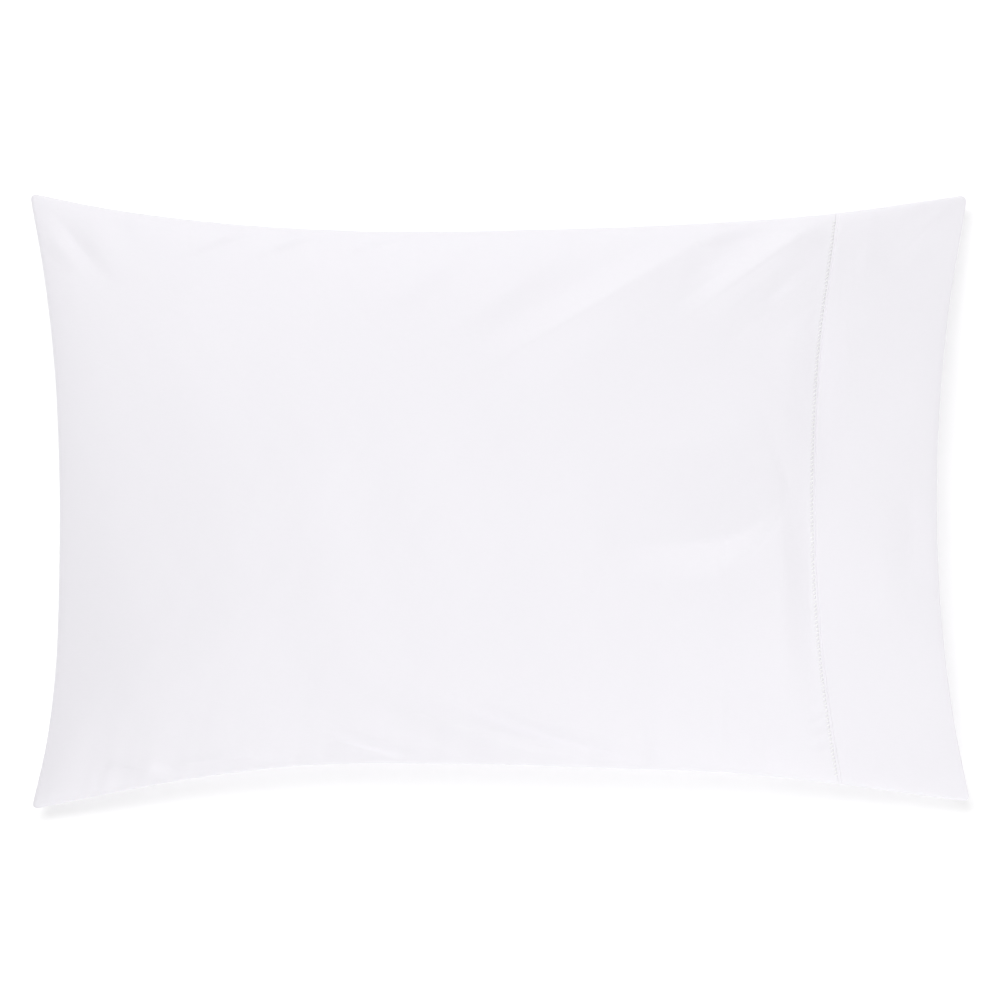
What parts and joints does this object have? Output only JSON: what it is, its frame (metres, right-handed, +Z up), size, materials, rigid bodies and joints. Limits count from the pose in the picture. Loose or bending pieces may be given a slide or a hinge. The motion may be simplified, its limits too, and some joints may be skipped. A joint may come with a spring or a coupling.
{
  "type": "pillowcase",
  "caption": "Filled bed pillowcase lying on its back, with a soft crown, drawn-in seams, corner ears and a doubled, hemstitched cuff round its open end.",
  "frame": {"origin": "middle of the footprint, on the surface that the case lies on", "axes": "+X along the length from the closed end to the mouth, +Y across the width, +Z up through the crown"},
  "size_m": [0.733, 0.4797, 0.1424],
  "materials": {
    "case_cotton": "plain woven cotton, matt",
    "cuff_cotton": "plain woven cotton, doubled and pressed"
  },
  "bodies": {
    "root": {"case": "case_cotton", "cuff": "cuff_cotton"}
  },
  "joints": []
}
